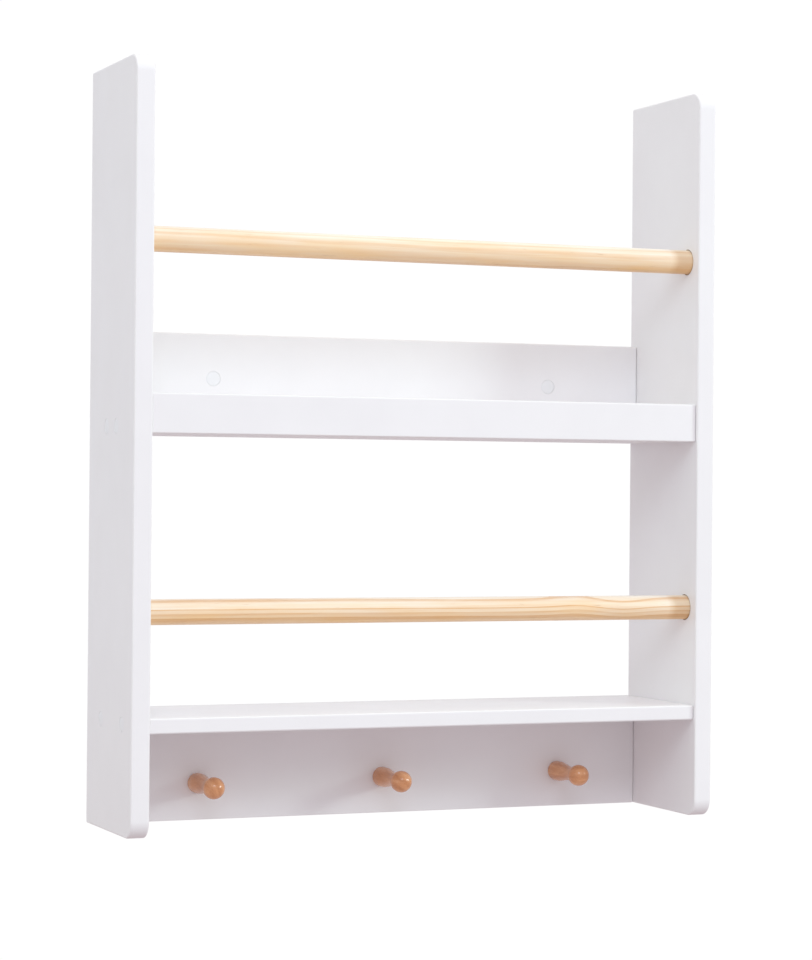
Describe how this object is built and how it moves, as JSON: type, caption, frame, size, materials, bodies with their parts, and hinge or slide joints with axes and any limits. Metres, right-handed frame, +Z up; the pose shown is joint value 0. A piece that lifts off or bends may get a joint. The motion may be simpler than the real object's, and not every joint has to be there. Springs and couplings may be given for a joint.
{
  "type": "wall-hung shelf rack",
  "caption": "Wall-hung rack: white side panels, a lipped upper shelf, a lower shelf, round retaining rails that turn in blind sockets, and turned pegs below.",
  "frame": {"origin": "on the wall plane, midway between the two wall screw holes in the wall rail", "axes": "+X to the right seen from the room, +Y into the wall, +Z up"},
  "size_m": [0.5, 0.122, 0.6],
  "materials": {
    "white_lacquer": "satin white lacquer on fibreboard",
    "pine": "clear satin",
    "beech": "clear gloss lacquer",
    "pin_wood": "raw",
    "zinc_steel": "bright zinc plate",
    "white_plastic": "smooth"
  },
  "bodies": {
    "rack_frame": {"lip_pin_left": "pin_wood", "lip_pin_right": "pin_wood", "lower_shelf_board": "white_lacquer", "lower_shelf_cover_back_left": "white_plastic", "lower_shelf_cover_back_right": "white_plastic", "lower_shelf_cover_front_left": "white_plastic", "lower_shelf_cover_front_right": "white_plastic", "lower_shelf_screw_back_left": "zinc_steel", "lower_shelf_screw_back_right": "zinc_steel", "lower_shelf_screw_front_left": "zinc_steel", "lower_shelf_screw_front_right": "zinc_steel", "peg_board": "white_lacquer", "peg_board_pin_high_left": "pin_wood", "peg_board_pin_high_right": "pin_wood", "peg_board_pin_low_left": "pin_wood", "peg_board_pin_low_right": "pin_wood", "peg_left": "beech", "peg_middle": "beech", "peg_right": "beech", "peg_screw_left": "zinc_steel", "peg_screw_middle": "zinc_steel", "peg_screw_right": "zinc_steel", "side_panel_left": "white_lacquer", "side_panel_right": "white_lacquer", "upper_shelf_board": "white_lacquer", "upper_shelf_cover_back_left": "white_plastic", "upper_shelf_cover_back_right": "white_plastic", "upper_shelf_cover_front_left": "white_plastic", "upper_shelf_cover_front_right": "white_plastic", "upper_shelf_lip": "white_lacquer", "upper_shelf_screw_back_left": "zinc_steel", "upper_shelf_screw_back_right": "zinc_steel", "upper_shelf_screw_front_left": "zinc_steel", "upper_shelf_screw_front_right": "zinc_steel", "wall_rail": "white_lacquer", "wall_rail_pin_high_left": "pin_wood", "wall_rail_pin_high_right": "pin_wood", "wall_rail_pin_low_left": "pin_wood", "wall_rail_pin_low_right": "pin_wood", "wall_screw_cover_left": "white_plastic", "wall_screw_cover_right": "white_plastic"},
    "upper_rail": {"rail_upper": "pine"},
    "lower_rail": {"rail_lower": "pine"}
  },
  "joints": [
    {"name": "upper_rail_turn", "type": "hinge", "parent": "rack_frame", "child": "upper_rail", "pos_m": [0, -0.1015, 0.103], "axis": [1, 0, 0], "continuous": true},
    {"name": "lower_rail_turn", "type": "hinge", "parent": "rack_frame", "child": "lower_rail", "pos_m": [0, -0.1015, -0.1845], "axis": [1, 0, 0], "continuous": true}
  ]
}
